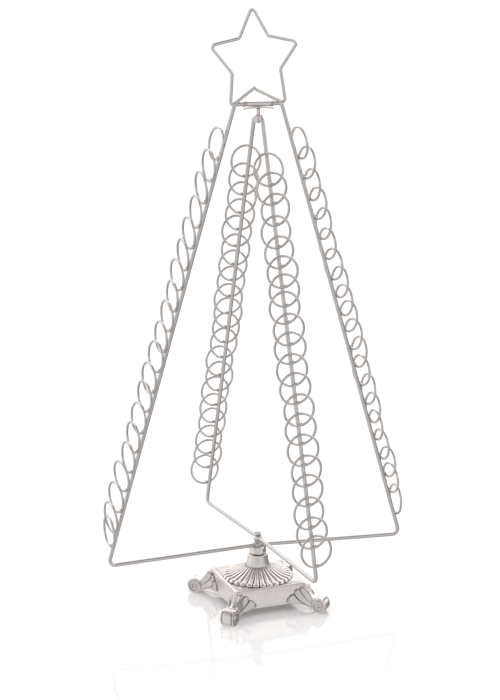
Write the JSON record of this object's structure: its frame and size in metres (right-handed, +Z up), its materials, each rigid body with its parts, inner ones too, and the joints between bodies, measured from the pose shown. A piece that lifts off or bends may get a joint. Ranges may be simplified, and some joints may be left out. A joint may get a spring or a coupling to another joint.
{
  "type": "christmas card holder",
  "caption": "Swivelling wire tree for greetings cards: two nested triangular frames with rows of card rings and a star, on a cast base with scroll feet.",
  "frame": {"origin": "on the floor under the swivel axis, at the middle of the base", "axes": "+Z up along the swivel axis; the plinth's sides run along X and Y, -Y is the front"},
  "size_m": [0.3596, 0.3106, 0.688],
  "materials": {
    "wire": "satin silver plating",
    "casting": "silver plated casting, darker in the crevices",
    "fittings": "plated steel"
  },
  "bodies": {
    "base": {"plinth": "casting", "dome": "casting", "neck": "casting", "swivel_washer": "fittings", "pivot_screw": "fittings", "base_washer": "fittings", "base_nut": "fittings", "foot_front_left": "casting", "foot_front_right": "casting", "foot_back_left": "casting", "foot_back_right": "casting"},
    "outer_frame": {"frame_nut": "fittings", "hub_boss": "fittings", "outer_bar_left": "wire", "outer_bar_right": "wire", "outer_leg_left": "wire", "outer_leg_right": "wire", "crossbar_sleeve": "fittings", "pivot_strap": "fittings", "top_pin": "fittings", "star": "wire"},
    "inner_frame": {"inner_eye": "fittings", "inner_bar_back": "wire", "inner_bar_front": "wire", "inner_leg_back": "wire", "inner_leg_front": "wire", "apex_bush": "fittings"}
  },
  "joints": [
    {"name": "turntable_spin", "type": "hinge", "parent": "base", "child": "outer_frame", "pos_m": [0, 0, 0.0595], "axis": [0, 0, 1], "continuous": true},
    {"name": "inner_frame_fold", "type": "hinge", "parent": "outer_frame", "child": "inner_frame", "pos_m": [0, 0, 0.0773], "axis": [0, 0, 1], "continuous": true}
  ]
}
